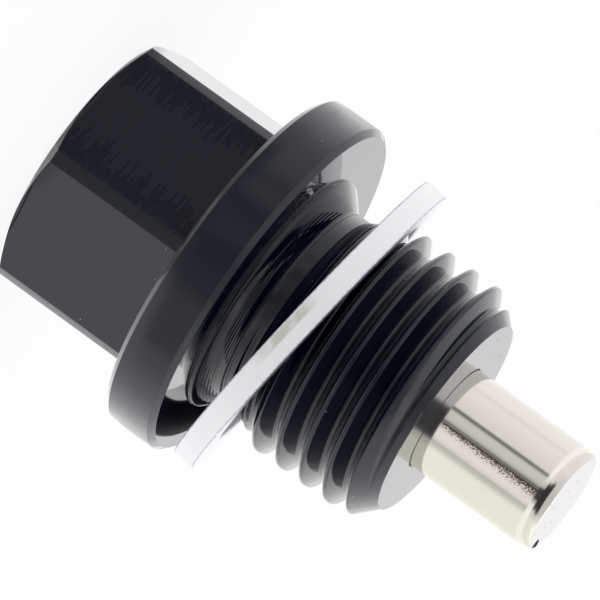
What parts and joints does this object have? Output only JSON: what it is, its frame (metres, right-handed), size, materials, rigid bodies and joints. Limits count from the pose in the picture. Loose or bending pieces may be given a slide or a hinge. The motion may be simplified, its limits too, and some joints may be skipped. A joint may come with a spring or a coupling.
{
  "type": "oil drain plug",
  "caption": "Magnetic oil drain plug: black anodised hexagon head, flange and threaded shank with a rod magnet in its end and a loose flat sealing washer.",
  "frame": {"origin": "middle of the head's flat end face, which the plug stands on", "axes": "+Z along the plug's axis from the head to the magnet, +Y square to one pair of the hexagon's flats"},
  "size_m": [0.02, 0.02, 0.0309],
  "materials": {
    "black_anodised_aluminium": "gloss black anodised, turned and milled",
    "nickel_plate": "bright nickel plate with a warm tint",
    "soft_aluminium": "plain stamped, lightly worn"
  },
  "bodies": {
    "root": {"plug_body": "black_anodised_aluminium", "magnet": "nickel_plate", "sealing_washer": "soft_aluminium"}
  },
  "joints": []
}
